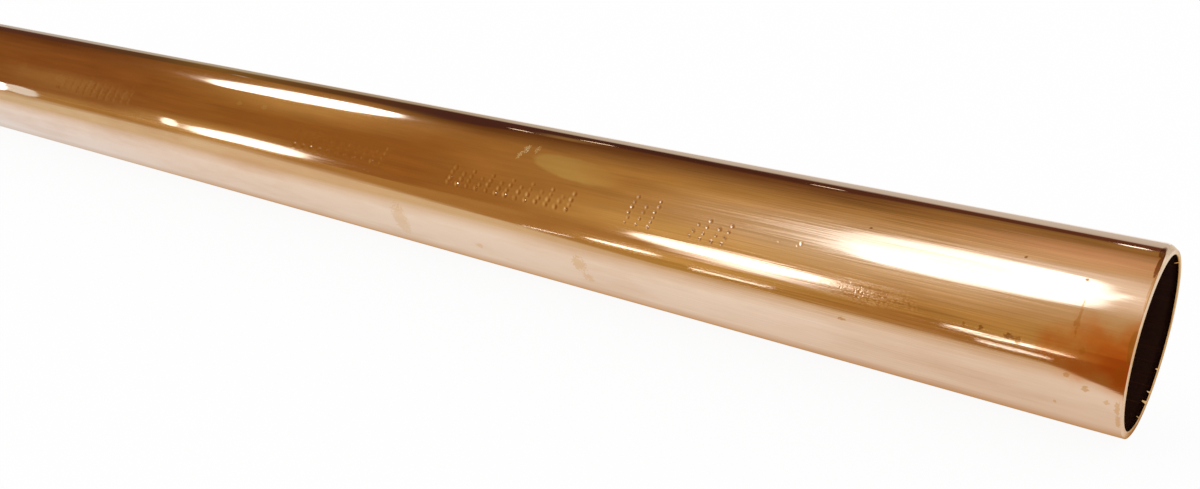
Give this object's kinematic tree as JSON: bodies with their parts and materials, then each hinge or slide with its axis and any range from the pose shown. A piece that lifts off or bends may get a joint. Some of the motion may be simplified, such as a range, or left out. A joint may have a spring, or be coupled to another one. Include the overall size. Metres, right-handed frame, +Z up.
{
  "type": "copper pipe length",
  "caption": "Straight length of round, thin-walled copper pipe with an open bore and wheel-cut ends whose outer edges are rolled in, for water and heating runs.",
  "frame": {"origin": "under the middle of the pipe, on the surface that it lies on", "axes": "+X along the pipe towards the cut end that the picture shows, +Z up, the pipe lying on its side"},
  "size_m": [1, 0.028, 0.028],
  "materials": {
    "copper": "bright drawn copper with fine lengthwise draw lines and light handling stains"
  },
  "bodies": {
    "root": {"copper_pipe": "copper"}
  },
  "joints": []
}
